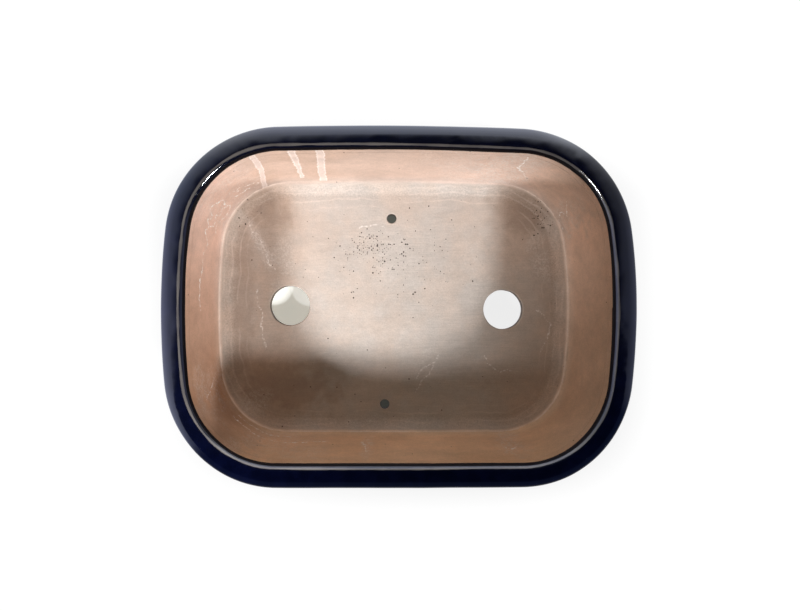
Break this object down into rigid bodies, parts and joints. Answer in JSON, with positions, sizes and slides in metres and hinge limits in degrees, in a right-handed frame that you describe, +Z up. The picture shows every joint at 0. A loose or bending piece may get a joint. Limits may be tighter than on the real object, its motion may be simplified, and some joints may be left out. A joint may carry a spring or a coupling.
{
  "type": "bonsai pot",
  "caption": "Oblong bow-sided bonsai pot with rolled glazed lip, bare clay inside, leaning wall, drain and wire holes, and curved corner feet.",
  "frame": {"origin": "on the ground, under the middle of the pot's outer box", "axes": "+X along the pot's length, +Y across it, +Z up out of its mouth"},
  "size_m": [0.26, 0.1976, 0.086],
  "materials": {
    "bare_clay": "unglazed, matt, buff-brown fired clay",
    "navy_glaze": "thick glossy navy glaze"
  },
  "bodies": {
    "root": {"floor_slab": "bare_clay", "wall": "bare_clay", "seam_coil": "bare_clay", "rim_band": "bare_clay", "foot_front_left": "bare_clay", "foot_front_right": "bare_clay", "foot_back_left": "bare_clay", "foot_back_right": "bare_clay", "body_glaze": "navy_glaze", "foot_glaze_front_left": "navy_glaze", "foot_glaze_front_right": "navy_glaze", "foot_glaze_back_left": "navy_glaze", "foot_glaze_back_right": "navy_glaze"}
  },
  "joints": []
}
